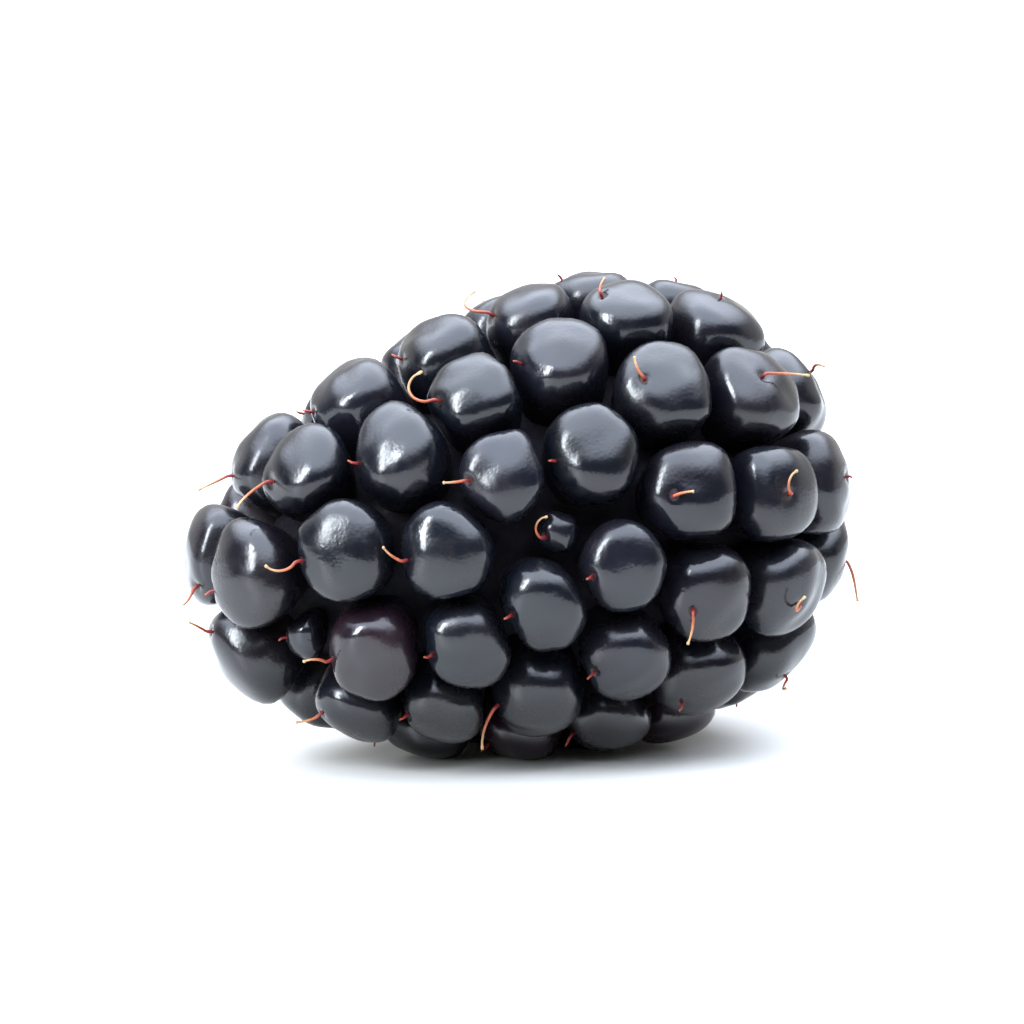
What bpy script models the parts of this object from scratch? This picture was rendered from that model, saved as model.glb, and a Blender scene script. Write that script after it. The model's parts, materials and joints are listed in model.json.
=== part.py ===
"""A ripe bramble berry, picked without its stalk and lying on its side.

The fruit is one grown body: drupelets packed round a receptacle and joined to it. The long dried
styles, thin curled hairs that stand on the drupelets, are pieces of their own.
The berry's axis runs along X, tip at -X and stem end at +X. It rests on z = 0, on the drupelets
that its weight presses flat. The origin is on that surface, under the middle of the part.
"""

import math
import random

import bmesh
import bpy
from mathutils import Matrix, Vector

MM = 0.001

# Driving dimensions, in millimetres
HALF_LENGTH = 14.9  # tip to stem end, halved
HALF_HEIGHT = 10.1  # radius, half-way along, of the envelope that the drupelets touch
ROUNDNESS = 2.3  # 2 is an ellipse, more is fuller at the shoulders
TAPER = 0.26  # the stem end is wider than the tip by this share each way
TIP_DROOP = 8.5  # degrees by which the narrow tip lies lower than the stem end
PRESSED_FLAT = 0.5  # how much of the lowest drupelet is pressed flat by the surface
SINK = 1.1  # depth of a drupelet's middle below the envelope, in drupelet radii
STUNTED = 1.5  # drupelets smaller than this sit deeper,
STUNTED_SEAT = 2.2  # by this times what they lack
REACH = 1.2  # how far a drupelet reaches along its own axis, in drupelet radii
SWELL = 1.55  # how far it would reach sideways with no neighbours, in drupelet radii
SEAM = 0.05  # half the gap left between two neighbours
SQUARENESS = 8.0  # how flat neighbours press each other: more is flatter, with tighter corners
NEIGHBOURHOOD = 1.5  # neighbours press each other if closer than this, in their swollen radii
CLOSEST_PRESS = 0.35  # and no plane of pressing comes closer to a middle, in drupelet radii
FLESH_DEPTH = 2.8  # depth of the flesh that closes the gaps between drupelets
FLESH_END = 11.3  # how far along the axis that flesh reaches, round the stem-end hollow
HOLLOW_FLOOR = 10.4  # the floor of the hollow that the stalk left, along the axis
HOLLOW_RADIUS = 1.9
CORE_CROWN = 0.3  # how far the torn end of the receptacle stands above that floor
LAST_MIDDLE = 12.1  # no drupelet's middle lies beyond this
FIRST_MIDDLE = -12.5
LEAN = 34.0  # degrees by which the drupelets on the tip's half lean to the tip
LEAN_EASES = 1.0  # along the axis from here
LEAN_ENDS = 9.0  # to here that lean dies away
USUAL_RADIUS = 2.02  # a drupelet's
SPREAD = 0.26  # and how much that varies
CLOSENESS = 1.0  # how far apart two middles settle, in the sum of the radii
SETTLING = 0.3  # share of the way that crowded drupelets move in each round

STYLE_RADIUS = 0.08
STYLE_ROOT = 0.2  # length inside the drupelet
STYLE_RISE = 0.12  # straight length above the skin, before the curl
STYLE_LEAN = 12.0  # degrees by which its root lies nearer the tip than its drupelet's lean
STYLE_LIFTS = (0.35, 0.6, 0.9, 1.3)  # how steeply it stands off the skin, the first that is clear
STYLE_GAP = 0.12  # kept to the other drupelets
STYLE_POINTS = 7
SHORTEST_STYLE = 0.8  # shorter ones are stubs, not pieces of their own
STYLE_CLEARANCE = 1.0  # above the surface

# The rings of drupelets round the axis, from the one at the tip to the one round the hollow
RINGS = 8
FIRST_RING = -12.2  # place along the axis
LAST_RING = 12.0
PITCH = 4.15  # from one drupelet's middle to the next in its ring
STAGGER = 0.5  # how far each ring is turned on the one before, in shares of the pitch
UNEVEN = 0.45  # how far a drupelet strays from its place in the ring
STUNTED_COUNT = 4  # small drupelets in the widest gaps
STUNTED_RADIUS = 0.9
SEED = 14  # another number gives another berry of the same kind

# The styles that show most, each by its drupelet's number in the rings:
# (length, the way it lies in degrees up from the tip, its curl in degrees)
SHOWN_STYLES = {
    0: (1.1, 0, 30),
    3: (1.3, -75, 60),
    4: (1.1, 35, -50),
    6: (2.1, -15, -35),
    11: (0.5, 0, 0),
    13: (1.1, 35, 30),
    14: (0.6, 40, 0),
    21: (2.2, -65, -30),
    22: (0.5, 0, 0),
    23: (1.0, 0, 10),
    24: (2.5, -5, 190),
    33: (0.4, 0, 0),
    34: (0.4, 0, 0),
    36: (2.4, 20, 150),
    43: (1.1, -70, 30),
    44: (1.4, -80, 30),
    45: (0.9, 170, 20),
    46: (1.0, 60, 40),
    47: (1.0, 110, 30),
    55: (0.5, 0, 0),
    57: (2.1, 185, 10),
    68: (1.1, 120, 20),
}

SKIN = (0.012, 0.011, 0.020)
DRY_STYLE = (0.42, 0.13, 0.035)


class Drupelet:
    """One drupelet: where it sits on the berry, its size, and the dried style that it carries."""

    def __init__(self, station, angle, radius, style):
        self.station = station
        self.angle = angle
        self.radius = radius
        self.style = style

    def centre(self):
        return on_envelope(self.station, self.angle, seat(self.radius))[0]

    def outward(self):
        return on_envelope(self.station, self.angle, seat(self.radius))[1]


def seat(radius):
    """Depth of a drupelet's middle below the envelope. Stunted ones sit deeper, between the others."""
    return SINK * radius + STUNTED_SEAT * max(0.0, STUNTED - radius)


def profile_radius(station, inset):
    """Radius of the envelope, drawn in by inset, at a place along the axis."""
    share = max(-0.995, min(0.995, station / (HALF_LENGTH - inset)))
    full = (1.0 - abs(share) ** ROUNDNESS) ** (1.0 / ROUNDNESS)
    return (HALF_HEIGHT - inset) * full * (1.0 + TAPER * share)


def on_envelope(station, angle, inset):
    """The point at that station and angle on the drawn-in envelope, and the way out from it."""
    step = 0.05
    sideways = Vector((0.0, -math.sin(angle), -math.cos(angle)))
    radius = profile_radius(station, inset)
    rise = profile_radius(station + step, inset) - profile_radius(station - step, inset)
    outward = (sideways - rise / (2.0 * step) * Vector((1.0, 0.0, 0.0))).normalized()
    return Vector((station, 0.0, 0.0)) + radius * sideways, outward


def chance_style(rng):
    length = rng.choice((0.4, 0.5, 0.6, rng.uniform(0.9, 1.6), rng.uniform(1.2, 2.4)))
    return (length, rng.uniform(-60.0, 60.0), rng.uniform(-140.0, 140.0))


def lay_out(rng):
    """Rings of drupelets, each with as many as fit round it and turned against the one before."""
    drupelets = []
    for ring in range(RINGS):
        station = FIRST_RING + (LAST_RING - FIRST_RING) * ring / (RINGS - 1)
        round_it = profile_radius(station, seat(USUAL_RADIUS))
        count = max(3, round(math.tau * round_it / PITCH))
        for number in range(count):
            astray = rng.uniform(-UNEVEN, UNEVEN)
            angle = math.tau * (number + STAGGER * ring) / count + astray / round_it
            radius = USUAL_RADIUS + rng.uniform(-SPREAD, SPREAD)
            along = station + rng.uniform(-UNEVEN, UNEVEN)
            drupelets.append(Drupelet(along, angle, radius, chance_style(rng)))
    return drupelets


def settle(drupelets, rounds=60):
    """Moves neighbours that crowd each other apart, along the envelope."""
    for _ in range(rounds):
        places = [drupelet.centre() for drupelet in drupelets]
        moves = [Vector((0.0, 0.0, 0.0)) for _ in drupelets]
        for i, first in enumerate(drupelets):
            for j in range(i + 1, len(drupelets)):
                second = drupelets[j]
                apart = places[i] - places[j]
                overlap = CLOSENESS * (first.radius + second.radius) - apart.length
                if overlap > 0.0:
                    push = apart.normalized() * overlap * 0.5
                    moves[i] += push
                    moves[j] -= push
        for drupelet, place, move in zip(drupelets, places, moves):
            place += SETTLING * move
            drupelet.station = max(FIRST_MIDDLE, min(LAST_MIDDLE, place.x))
            drupelet.angle = math.atan2(-place.y, -place.z)


def add_stunted(drupelets, rng):
    """Small drupelets that grew in the widest gaps between the others."""
    free = []
    station = FIRST_RING
    while station < LAST_RING - 2.0:
        for degrees in range(0, 360, 4):
            angle = math.radians(degrees)
            free.append((station, angle, on_envelope(station, angle, seat(STUNTED_RADIUS))[0]))
        station += 0.4
    for _ in range(STUNTED_COUNT):
        roomiest = None
        for station, angle, place in free:
            room = min((place - other.centre()).length - other.radius for other in drupelets)
            if roomiest is None or room > roomiest[0]:
                roomiest = (room, station, angle)
        drupelets.append(Drupelet(roomiest[1], roomiest[2], STUNTED_RADIUS, chance_style(rng)))


def tipward(outward):
    """The way along the skin that leads to the tip."""
    tip = Vector((-1.0, 0.0, 0.0))
    return (tip - tip.dot(outward) * outward).normalized()


def lean(station):
    """Degrees by which a drupelet leans to the tip: more on the tip's half, none at the stem end."""
    share = max(0.0, min(1.0, (station - LEAN_EASES) / (LEAN_ENDS - LEAN_EASES)))
    return LEAN * (1.0 - share * share * (3.0 - 2.0 * share))


def leaning(outward, degrees):
    turn = math.radians(degrees)
    return math.cos(turn) * outward + math.sin(turn) * tipward(outward)


def pressing_planes(number, places, radii):
    """The planes that a drupelet shares with its neighbours, as (way to the neighbour, distance)."""
    planes = []
    for other, place in enumerate(places):
        between = place - places[number]
        gap = between.length
        if other == number or gap > NEIGHBOURHOOD * SWELL * (radii[number] + radii[other]):
            continue
        distance = (gap * gap + radii[number] ** 2 - radii[other] ** 2) / (2.0 * gap)
        planes.append((between / gap, max(CLOSEST_PRESS * radii[number], distance) - SEAM))
    return planes


def skin_distance(way, axis, radius, planes):
    """How far the drupelet's skin lies from its middle, that way: a round form pressed by others."""
    along = way.dot(axis)
    free_form = (along / (REACH * radius)) ** 2 + (1.0 - along * along) / (SWELL * radius) ** 2
    total = free_form ** (SQUARENESS / 2.0)
    for to_neighbour, distance in planes:
        facing = way.dot(to_neighbour)
        if facing > 0.0:
            total += (facing / distance) ** SQUARENESS
    return total ** (-1.0 / SQUARENESS)


def clear_scene():
    for thing in list(bpy.data.objects):
        bpy.data.objects.remove(thing, do_unlink=True)


def make_material(name, colour, roughness):
    material = bpy.data.materials.new(name)
    material.use_nodes = True
    surface = material.node_tree.nodes["Principled BSDF"]
    surface.inputs["Base Color"].default_value = (*colour, 1.0)
    surface.inputs["Roughness"].default_value = roughness
    surface.inputs["Metallic"].default_value = 0.0
    return material


def collection_named(name):
    made = bpy.data.collections.new(name)
    bpy.context.scene.collection.children.link(made)
    return made


def make_drupelet(number, drupelet, planes, collection):
    centre = drupelet.centre()
    axis = leaning(drupelet.outward(), 0.5 * lean(drupelet.station))
    mesh = bpy.data.meshes.new(f"drupelet_{number:02d}")
    shape = bmesh.new()
    bmesh.ops.create_uvsphere(shape, u_segments=10, v_segments=7, radius=1.0)
    upright = axis.to_track_quat("Z", "Y").to_matrix()
    bmesh.ops.rotate(shape, verts=shape.verts, matrix=upright)
    for corner in shape.verts:
        way = corner.co.normalized()
        corner.co = way * skin_distance(way, axis, drupelet.radius, planes) * MM
    shape.to_mesh(mesh)
    shape.free()
    made = bpy.data.objects.new(mesh.name, mesh)
    made.matrix_world = TIPPED @ Matrix.Translation(centre * MM)
    made.hide_render = True
    made.display_type = "WIRE"
    collection.objects.link(made)
    return [made.matrix_world @ corner.co for corner in mesh.vertices]


def make_receptacle(skin, collection):
    """The flesh under the drupelets, a turned body with the hollow sunk in its stem end."""
    first = -HALF_LENGTH + FLESH_DEPTH + 0.4
    bands = 12
    outline = [(0.0, first - 0.3)]
    for k in range(bands + 1):
        station = first + (FLESH_END - first) * k / bands
        outline.append((profile_radius(station, FLESH_DEPTH), station))
    outline.append((1.5 * HOLLOW_RADIUS, FLESH_END + 0.15))
    outline.append((HOLLOW_RADIUS, FLESH_END - 0.1))
    outline.append((0.8 * HOLLOW_RADIUS, HOLLOW_FLOOR))
    outline.append((0.4 * HOLLOW_RADIUS, HOLLOW_FLOOR + 0.8 * CORE_CROWN))
    outline.append((0.0, HOLLOW_FLOOR + CORE_CROWN))
    mesh = bpy.data.meshes.new("berry")
    points = [(radius * MM, 0.0, along * MM) for radius, along in reversed(outline)]
    mesh.from_pydata(points, [(k, k + 1) for k in range(len(points) - 1)], [])
    body = bpy.data.objects.new("berry", mesh)
    body.matrix_world = TIPPED @ Matrix.Rotation(math.radians(90.0), 4, "Y")
    body.data.materials.append(skin)
    collection.objects.link(body)
    turn = body.modifiers.new("turned", "SCREW")
    turn.steps = turn.render_steps = 24
    turn.use_merge_vertices = True
    turn.merge_threshold = 0.00001
    return body


def make_block_below(top, collection):
    """A block whose top face presses the lowest drupelets flat."""
    depth = 6.0 * MM
    mesh = bpy.data.meshes.new("resting_surface")
    shape = bmesh.new()
    bmesh.ops.create_cube(shape, size=1.0)
    shape.to_mesh(mesh)
    shape.free()
    block = bpy.data.objects.new("resting_surface", mesh)
    block.scale = (60.0 * MM, 60.0 * MM, depth)
    block.location = (0.0, 0.0, top - depth / 2.0)
    block.hide_render = True
    block.display_type = "WIRE"
    collection.objects.link(block)
    return block


def style_path(drupelet, planes, lift):
    """Centreline of a dried style: rooted on the tip's side of its drupelet, curling along the skin."""
    length, lies, curl = drupelet.style
    outward = drupelet.outward()
    axis = leaning(outward, 0.5 * lean(drupelet.station))
    foot = leaning(outward, lean(drupelet.station) + STYLE_LEAN)
    reach = skin_distance(foot, axis, drupelet.radius, planes)
    along = tipward(outward)
    upward = along.cross(outward)
    points = [drupelet.centre() + foot * (reach - STYLE_ROOT)]
    points.append(points[0] + foot * (STYLE_ROOT + STYLE_RISE))
    step = length / (STYLE_POINTS - 2)
    for k in range(STYLE_POINTS - 2):
        turn = math.radians(lies + curl * k / (STYLE_POINTS - 3))
        heading = math.cos(turn) * along + math.sin(turn) * upward + lift * outward
        points.append(points[-1] + heading.normalized() * step)
    return points


def stands_clear(points, own, drupelets, lowest):
    """True if the style, past its root, keeps out of every other drupelet and above the surface."""
    for place in points[1:]:
        if (TIPPED @ (place * MM)).z < lowest + STYLE_CLEARANCE * MM:
            return False
        for other in drupelets:
            if other is not own and (place - other.centre()).length < REACH * other.radius + STYLE_GAP:
                return False
    return True


def make_style(number, points, dry, collection):
    curve = bpy.data.curves.new(f"dried_style_{number:02d}", "CURVE")
    curve.dimensions = "3D"
    curve.bevel_depth = STYLE_RADIUS * MM
    curve.bevel_resolution = 1
    curve.use_fill_caps = True
    spline = curve.splines.new("POLY")
    spline.points.add(len(points) - 1)
    for k, place in enumerate(points):
        spline.points[k].co = (*(TIPPED @ (place * MM)), 1.0)
        spline.points[k].radius = 1.0 - 0.5 * k / (len(points) - 1)
    curve.materials.append(dry)
    collection.objects.link(bpy.data.objects.new(curve.name, curve))
    return [Vector(point.co[:3]) for point in spline.points]


TIPPED = Matrix.Rotation(-math.radians(TIP_DROOP), 4, "Y")

clear_scene()
berry_parts = collection_named("bramble_berry")
operands = collection_named("drupelets")
cutters = collection_named("cutters")
skin = make_material("berry_skin", SKIN, 0.22)
dry = make_material("dry_style", DRY_STYLE, 0.6)

rng = random.Random(SEED)
drupelets = lay_out(rng)
settle(drupelets)
add_stunted(drupelets, rng)
for number, style in SHOWN_STYLES.items():
    drupelets[number].style = style
places = [drupelet.centre() for drupelet in drupelets]
radii = [drupelet.radius for drupelet in drupelets]
planes = [pressing_planes(number, places, radii) for number in range(len(drupelets))]

outline = []
for number, drupelet in enumerate(drupelets):
    outline += make_drupelet(number, drupelet, planes[number], operands)
resting_height = min(point.z for point in outline) + PRESSED_FLAT * MM

berry = make_receptacle(skin, berry_parts)
joined = berry.modifiers.new("grown_together", "BOOLEAN")
joined.operation = "UNION"
joined.solver = "EXACT"
joined.operand_type = "COLLECTION"
joined.collection = operands
pressed = berry.modifiers.new("pressed_flat", "BOOLEAN")
pressed.operation = "DIFFERENCE"
pressed.solver = "EXACT"
pressed.object = make_block_below(resting_height, cutters)

style_count = 0
for number, drupelet in enumerate(drupelets):
    if drupelet.style[0] < SHORTEST_STYLE:
        continue
    for lift in STYLE_LIFTS:
        path = style_path(drupelet, planes[number], lift)
        if stands_clear(path, drupelet, drupelets, resting_height):
            style_count += 1
            outline += make_style(style_count, path, dry, berry_parts)
            break

middle_x = (min(point.x for point in outline) + max(point.x for point in outline)) / 2.0
middle_y = (min(point.y for point in outline) + max(point.y for point in outline)) / 2.0
for thing in bpy.data.objects:
    thing.location -= Vector((middle_x, middle_y, resting_height))
print(f"{len(drupelets)} drupelets, {style_count} long styles")
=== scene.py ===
import json
import math
import random

import bmesh
import bpy
import numpy as np
from mathutils import Matrix, Vector

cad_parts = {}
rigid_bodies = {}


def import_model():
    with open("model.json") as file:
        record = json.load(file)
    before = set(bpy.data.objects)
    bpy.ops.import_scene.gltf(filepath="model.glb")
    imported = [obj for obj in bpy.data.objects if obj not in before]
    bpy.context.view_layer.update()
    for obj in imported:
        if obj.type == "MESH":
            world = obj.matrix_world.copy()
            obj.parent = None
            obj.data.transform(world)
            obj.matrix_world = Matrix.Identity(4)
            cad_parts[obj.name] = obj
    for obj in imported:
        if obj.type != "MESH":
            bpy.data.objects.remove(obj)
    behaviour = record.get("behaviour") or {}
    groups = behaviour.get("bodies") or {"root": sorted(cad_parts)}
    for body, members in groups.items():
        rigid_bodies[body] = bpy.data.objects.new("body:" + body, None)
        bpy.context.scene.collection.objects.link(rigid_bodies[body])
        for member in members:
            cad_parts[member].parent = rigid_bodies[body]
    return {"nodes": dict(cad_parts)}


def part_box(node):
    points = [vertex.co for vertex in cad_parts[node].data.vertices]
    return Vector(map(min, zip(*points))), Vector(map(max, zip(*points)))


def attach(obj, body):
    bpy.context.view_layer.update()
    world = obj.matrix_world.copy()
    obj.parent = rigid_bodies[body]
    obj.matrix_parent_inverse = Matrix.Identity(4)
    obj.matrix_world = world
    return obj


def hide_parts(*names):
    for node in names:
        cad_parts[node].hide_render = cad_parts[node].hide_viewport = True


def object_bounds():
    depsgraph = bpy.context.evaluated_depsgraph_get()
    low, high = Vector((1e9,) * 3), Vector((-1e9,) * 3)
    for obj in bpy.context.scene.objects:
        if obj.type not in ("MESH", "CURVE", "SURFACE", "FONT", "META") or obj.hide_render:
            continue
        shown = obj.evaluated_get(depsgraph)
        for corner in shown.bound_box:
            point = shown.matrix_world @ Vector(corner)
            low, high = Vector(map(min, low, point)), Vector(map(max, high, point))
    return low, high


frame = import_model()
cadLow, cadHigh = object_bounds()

mm = 0.001  # everything below is in millimetres until it becomes a mesh

# The layout of the fruit, the same as in the solid model
layout = {
    "halfLength": 14.9,  # tip to stem end, halved
    "halfHeight": 10.1,  # radius of the envelope half-way along
    "roundness": 2.3,
    "taper": 0.26,
    "tipDroop": 8.5,  # degrees
    "pressedFlat": 0.5,
    "sink": 1.1,  # depth of a drupelet's middle, in its radii
    "stunted": 1.5,  # drupelets smaller than this sit deeper,
    "stuntedSeat": 2.2,  # by this times what they lack
    "reach": 1.2,
    "swell": 1.55,
    "seam": 0.05,
    "squareness": 8.0,
    "neighbourhood": 1.5,  # neighbours press each other if closer than this, in their swollen radii
    "closestPress": 0.35,  # and never closer to a middle than this, in drupelet radii
    "firstMiddle": -12.5,  # drupelets' middles keep between this
    "lastMiddle": 12.1,  # and this, along the axis
    "lean": 34.0,  # degrees by which the tip's half leans to the tip
    "leanEases": 1.0,  # along the axis from here
    "leanEnds": 9.0,  # to here the lean dies away
    "footLean": 12.0,  # degrees by which a style's foot lies still nearer the tip
    "usualRadius": 2.02,
    "spread": 0.26,
    "closeness": 1.0,
    "settling": 0.3,  # share of the way that crowded drupelets move in each round
    "rings": 8,
    "firstRing": -12.2,
    "lastRing": 12.0,
    "pitch": 4.15,
    "stagger": 0.5,
    "uneven": 0.45,
    "stuntedCount": 4,
    "stuntedRadius": 0.9,
    "ballSides": 10,  # of the solid's drupelets, which are coarser than the ones shown
    "ballRings": 7,
    "seed": 14,
}

# The styles that show most, each by its drupelet's number in the rings: length, the way it lies in
# degrees up from the tip, and its curl in degrees
shownStyles = {
    0: (1.1, 0, 30),
    3: (1.3, -75, 60),
    4: (1.1, 35, -50),
    6: (2.1, -15, -35),
    11: (0.5, 0, 0),
    13: (1.1, 35, 30),
    14: (0.6, 40, 0),
    21: (2.2, -65, -30),
    22: (0.5, 0, 0),
    23: (1.0, 0, 10),
    24: (2.5, -5, 190),
    33: (0.4, 0, 0),
    34: (0.4, 0, 0),
    36: (2.4, 20, 150),
    43: (1.1, -70, 30),
    44: (1.4, -80, 30),
    45: (0.9, 170, 20),
    46: (1.0, 60, 40),
    47: (1.0, 110, 30),
    55: (0.5, 0, 0),
    57: (2.1, 185, 10),
    68: (1.1, 120, 20),
}

tipped = Matrix.Rotation(-math.radians(layout["tipDroop"]), 4, "Y")


class Drupelet:
    def __init__(self, station, angle, radius, style):
        self.station = station
        self.angle = angle
        self.radius = radius
        self.style = style

    def centre(self):
        return onEnvelope(self.station, self.angle, seatDepth(self.radius))[0]

    def outward(self):
        return onEnvelope(self.station, self.angle, seatDepth(self.radius))[1]


def seatDepth(radius):
    return layout["sink"] * radius + layout["stuntedSeat"] * max(0.0, layout["stunted"] - radius)


def profileRadius(station, inset):
    share = max(-0.995, min(0.995, station / (layout["halfLength"] - inset)))
    full = (1.0 - abs(share) ** layout["roundness"]) ** (1.0 / layout["roundness"])
    return (layout["halfHeight"] - inset) * full * (1.0 + layout["taper"] * share)


def onEnvelope(station, angle, inset):
    step = 0.05
    sideways = Vector((0.0, -math.sin(angle), -math.cos(angle)))
    radius = profileRadius(station, inset)
    rise = profileRadius(station + step, inset) - profileRadius(station - step, inset)
    outward = (sideways - rise / (2.0 * step) * Vector((1.0, 0.0, 0.0))).normalized()
    return Vector((station, 0.0, 0.0)) + radius * sideways, outward


# Three styles in five are stubs, the others long and curled
def chanceStyle(rng):
    length = rng.choice((0.4, 0.5, 0.6, rng.uniform(0.9, 1.6), rng.uniform(1.2, 2.4)))
    return (length, rng.uniform(-60.0, 60.0), rng.uniform(-140.0, 140.0))


def layOut(rng):
    drupelets = []
    uneven = layout["uneven"]
    for ring in range(layout["rings"]):
        share = layout["lastRing"] - layout["firstRing"]
        station = layout["firstRing"] + share * ring / (layout["rings"] - 1)
        roundIt = profileRadius(station, seatDepth(layout["usualRadius"]))
        count = max(3, round(math.tau * roundIt / layout["pitch"]))
        for number in range(count):
            astray = rng.uniform(-uneven, uneven)
            angle = math.tau * (number + layout["stagger"] * ring) / count + astray / roundIt
            radius = layout["usualRadius"] + rng.uniform(-layout["spread"], layout["spread"])
            along = station + rng.uniform(-uneven, uneven)
            drupelets.append(Drupelet(along, angle, radius, chanceStyle(rng)))
    return drupelets


# Moves neighbours that crowd each other apart, along the envelope
def settle(drupelets, rounds=60):
    for _ in range(rounds):
        places = [drupelet.centre() for drupelet in drupelets]
        moves = [Vector((0.0, 0.0, 0.0)) for _ in drupelets]
        for i, first in enumerate(drupelets):
            for j in range(i + 1, len(drupelets)):
                second = drupelets[j]
                apart = places[i] - places[j]
                overlap = layout["closeness"] * (first.radius + second.radius) - apart.length
                if overlap > 0.0:
                    push = apart.normalized() * overlap * 0.5
                    moves[i] += push
                    moves[j] -= push
        for drupelet, place, move in zip(drupelets, places, moves):
            place += layout["settling"] * move
            drupelet.station = max(layout["firstMiddle"], min(layout["lastMiddle"], place.x))
            drupelet.angle = math.atan2(-place.y, -place.z)


# Small drupelets that grew in the widest gaps between the others
def addStunted(drupelets, rng):
    radius = layout["stuntedRadius"]
    stepAlong, stepRound, keptFromEnd = 0.4, 4, 2.0
    free = []
    station = layout["firstRing"]
    while station < layout["lastRing"] - keptFromEnd:
        for degrees in range(0, 360, stepRound):
            angle = math.radians(degrees)
            free.append((station, angle, onEnvelope(station, angle, seatDepth(radius))[0]))
        station += stepAlong
    for _ in range(layout["stuntedCount"]):
        roomiest = None
        for station, angle, place in free:
            room = min((place - other.centre()).length - other.radius for other in drupelets)
            if roomiest is None or room > roomiest[0]:
                roomiest = (room, station, angle)
        drupelets.append(Drupelet(roomiest[1], roomiest[2], radius, chanceStyle(rng)))


def tipward(outward):
    tip = Vector((-1.0, 0.0, 0.0))
    return (tip - tip.dot(outward) * outward).normalized()


def leanDegrees(station):
    easing = layout["leanEnds"] - layout["leanEases"]
    share = max(0.0, min(1.0, (station - layout["leanEases"]) / easing))
    return layout["lean"] * (1.0 - share * share * (3.0 - 2.0 * share))


def leaning(outward, degrees):
    turn = math.radians(degrees)
    return math.cos(turn) * outward + math.sin(turn) * tipward(outward)


# Where a drupelet's neighbours press it flat: the way to each plane, and how far off it lies
def pressingPlanes(number, places, radii):
    planes = []
    closest = layout["closestPress"] * radii[number]
    for other, place in enumerate(places):
        between = place - places[number]
        gap = between.length
        swollen = layout["swell"] * (radii[number] + radii[other])
        if other == number or gap > layout["neighbourhood"] * swollen:
            continue
        distance = (gap * gap + radii[number] ** 2 - radii[other] ** 2) / (2.0 * gap)
        planes.append((between / gap, max(closest, distance) - layout["seam"]))
    return planes


# How far the skin lies from a drupelet's middle, for a whole array of directions
def skinReach(ways, axis, radius, planes, swell, squareness):
    along = ways @ np.array(axis)
    free = (along / (layout["reach"] * radius)) ** 2 + (1.0 - along**2) / (swell * radius) ** 2
    toNeighbours = np.array([way for way, _ in planes])
    distances = np.array([distance for _, distance in planes])
    facing = np.maximum(0.0, ways @ toNeighbours.T) / distances
    return (free ** (squareness / 2.0) + (facing**squareness).sum(axis=1)) ** (-1.0 / squareness)


def sphereWays(segments, rings):
    shape = bmesh.new()
    bmesh.ops.create_uvsphere(shape, u_segments=segments, v_segments=rings, radius=1.0)
    ways = np.array([corner.co.normalized() for corner in shape.verts])
    shape.free()
    return ways


# The way from a drupelet's middle to the foot of its style
def footWay(drupelet):
    return leaning(drupelet.outward(), leanDegrees(drupelet.station) + layout["footLean"])


def drupeletAxis(drupelet):
    return leaning(drupelet.outward(), 0.5 * leanDegrees(drupelet.station))


rng = random.Random(layout["seed"])
drupelets = layOut(rng)
settle(drupelets)
addStunted(drupelets, rng)
for number, style in shownStyles.items():
    drupelets[number].style = style
places = [drupelet.centre() for drupelet in drupelets]
radii = [drupelet.radius for drupelet in drupelets]
axes = [drupeletAxis(drupelet) for drupelet in drupelets]
planes = [pressingPlanes(number, places, radii) for number in range(len(drupelets))]
feet = [footWay(drupelet) for drupelet in drupelets]
print(f"laid out {len(drupelets)} drupelets")


def solidReach(ways, number):
    swell, squareness = layout["swell"], layout["squareness"]
    return skinReach(ways, axes[number], radii[number], planes[number], swell, squareness)


# The solid model's coarse outline of the drupelets, which says where its berry node puts the layout
def coarseOutline():
    ways = sphereWays(layout["ballSides"], layout["ballRings"])
    points = []
    for number, axis in enumerate(axes):
        turned = ways @ np.array(axis.to_track_quat("Z", "Y").to_matrix()).T
        points.append(np.array(places[number]) + turned * solidReach(turned, number)[:, None])
    return np.vstack(points) @ np.array(tipped.to_3x3()).T


outline = coarseOutline()
berryLow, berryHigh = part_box("berry")
shift = np.array([
    berryLow.x / mm - outline[:, 0].min(),
    berryLow.y / mm - outline[:, 1].min(),
    -outline[:, 2].min() - layout["pressedFlat"],
])
tippedTurn = np.array(tipped.to_3x3())
offTop = outline[:, 2].max() + shift[2] - berryHigh.z / mm
print(f"layout placed on the solid, its top {offTop:.4f} mm off")


def toWorld(points):
    return points @ tippedTurn.T + shift


def toLayout(points):
    return (points - shift) @ tippedTurn


# The skin: every drupelet as a fine closed ball, grown together with the flesh between them
skinShape = {
    "ballSegments": 44,
    "ballRings": 28,
    "footFineness": 1.3,  # crowds the rings of a ball round its style
    "swell": 1.6,
    "squareness": 4.3,
    "stuntedSquareness": 2.8,
    "lumpHeight": 0.030,
    "lumpSize": 1.9,
    "lumpSeed": 100,
    "dimpleDepth": 0.12,  # where a style is rooted
    "dimpleWidth": 0.24,
    "fleshDepth": 3.05,
    "grooveDepth": 0.2,  # how much deeper the flesh lies along the seams
    "grooveWidth": 0.6,
    "fleshStations": 80,
    "fleshTurns": 150,
    "fleshEndRings": 24,
    "bunching": 0.10,  # crowds the flesh's rings a little
    "tipCut": 0.15,  # the flesh stops this short of its own tip
    "tipPoint": 0.2,  # and ends in a point this long
    "grooveSlant": 0.25,  # how much the grooves sink along the axis as well as towards it
    "endStation": 10.9,  # along the axis, where the flesh turns in to the hollow
    "endRise": 0.5,
    "hollowDepth": 1.1,
    "hollowWidth": 1.9,
    # the seam mask from these two heights also sets the painted shade towards the seams
    "seamFloor": -0.45,  # height over a drupelet's middle, in its radii, where it is all seam
    "seamTop": 0.35,
    "scarWidth": 0.30,
    "sharpFrom": 55.0,  # degrees
    "weld": 0.001,  # corners closer than this along the seams become one
}


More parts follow.
